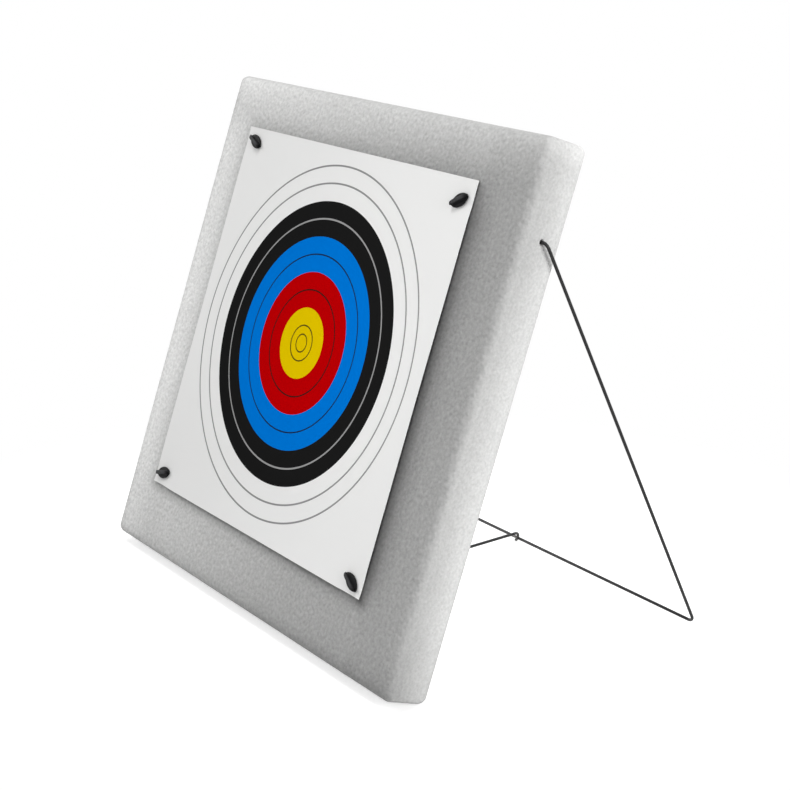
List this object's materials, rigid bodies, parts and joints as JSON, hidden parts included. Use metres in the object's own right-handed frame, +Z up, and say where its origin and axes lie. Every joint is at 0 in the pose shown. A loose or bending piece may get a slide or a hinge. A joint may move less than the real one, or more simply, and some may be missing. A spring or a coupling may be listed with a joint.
{
  "type": "archery target stand",
  "caption": "Free-standing archery target: a foam block leaning back on a folding wire leg frame, with a ten-ring paper face held by plastic pins.",
  "frame": {"origin": "on the floor, under the middle of the whole stand's box", "axes": "+Z up, -Y towards the archer (the printed face looks that way), +X to the archer's right as they look at the face"},
  "size_m": [0.602, 0.4176, 0.5619],
  "materials": {
    "white_foam": "matte",
    "face_paper": "satin",
    "gold_ink": "satin",
    "red_ink": "satin",
    "blue_ink": "satin",
    "black_ink": "satin",
    "black_plastic": "satin",
    "black_wire": "satin"
  },
  "bodies": {
    "board": {"foam_block": "white_foam", "target_face": "face_paper", "print_gold": "gold_ink", "print_red": "red_ink", "print_blue": "blue_ink", "print_black": "black_ink"},
    "legs": {"leg_frame": "black_wire"},
    "strut": {"brace_strut": "black_wire", "strut_hook": "black_wire"},
    "top_left_pin": {"pin_top_left": "black_plastic"},
    "top_right_pin": {"pin_top_right": "black_plastic"},
    "bottom_right_pin": {"pin_bottom_right": "black_plastic"},
    "bottom_left_pin": {"pin_bottom_left": "black_plastic"}
  },
  "joints": [
    {"name": "leg_fold", "type": "hinge", "parent": "board", "child": "legs", "pos_m": [0, -0.03263, 0.46007], "axis": [-1, 0, 0], "range_deg": [0, 46]},
    {"name": "strut_pull", "type": "slide", "parent": "board", "child": "strut", "axis": [-0.0978, 0.9952, -0.0102], "range_m": [0, 0.04]},
    {"name": "top_left_pin_pull", "type": "slide", "parent": "board", "child": "top_left_pin", "axis": [0, -0.9478, 0.319], "range_m": [0, 0.05]},
    {"name": "top_right_pin_pull", "type": "slide", "parent": "board", "child": "top_right_pin", "axis": [0, -0.9478, 0.319], "range_m": [0, 0.05]},
    {"name": "bottom_right_pin_pull", "type": "slide", "parent": "board", "child": "bottom_right_pin", "axis": [0, -0.9478, 0.319], "range_m": [0, 0.05]},
    {"name": "bottom_left_pin_pull", "type": "slide", "parent": "board", "child": "bottom_left_pin", "axis": [0, -0.9478, 0.319], "range_m": [0, 0.05]}
  ]
}
